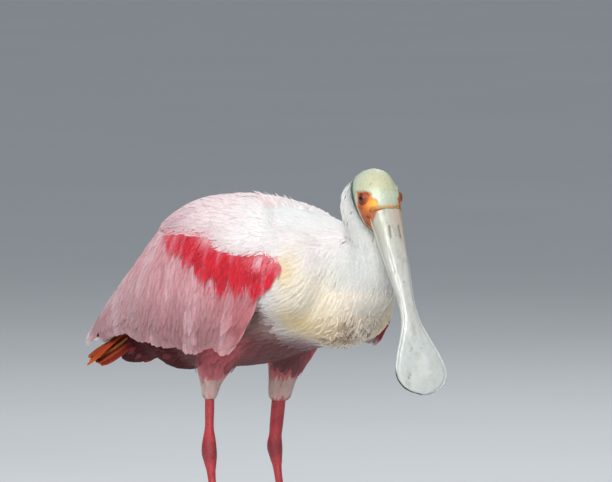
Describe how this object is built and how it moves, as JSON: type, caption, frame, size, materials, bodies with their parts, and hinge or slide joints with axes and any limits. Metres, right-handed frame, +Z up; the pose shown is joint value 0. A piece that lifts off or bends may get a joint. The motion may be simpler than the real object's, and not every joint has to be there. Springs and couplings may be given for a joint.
{
  "type": "roseate spoonbill figure",
  "caption": "Life-size roseate spoonbill standing with folded wings, neck drawn in, head turned to its right and spoon-shaped bill pointing down.",
  "frame": {"origin": "on the floor, under the middle of the bounding box", "axes": "+Z up; the bird's body faces -Y and its left side is +X"},
  "size_m": [0.152, 0.4632, 0.3823],
  "materials": {
    "plumage_white": "soft white feathers",
    "plumage_pink": "soft pink feathers",
    "thigh_pink": "short pink feathers",
    "tail_orange": "orange feathers",
    "undertail_red": "crimson feathers",
    "bare_head": "bare pale green skin",
    "bill_grey": "worn horn, satin",
    "leg_red": "scaly red skin",
    "claw_dark": "dark horn",
    "eye_red": "wet dark red"
  },
  "bodies": {
    "root": {"trunk": "plumage_white", "neck": "plumage_white", "head": "bare_head", "eye_right": "eye_red", "eye_left": "eye_red", "bill_upper": "bill_grey", "bill_lower": "bill_grey", "wing_right": "plumage_pink", "wing_left": "plumage_pink", "tail": "tail_orange", "undertail": "undertail_red", "thigh_right": "thigh_pink", "shank_right": "leg_red", "foot_right": "leg_red", "claw_inner_right": "claw_dark", "claw_middle_right": "claw_dark", "claw_outer_right": "claw_dark", "claw_hind_right": "claw_dark", "thigh_left": "thigh_pink", "shank_left": "leg_red", "foot_left": "leg_red", "claw_inner_left": "claw_dark", "claw_middle_left": "claw_dark", "claw_outer_left": "claw_dark", "claw_hind_left": "claw_dark"}
  },
  "joints": []
}
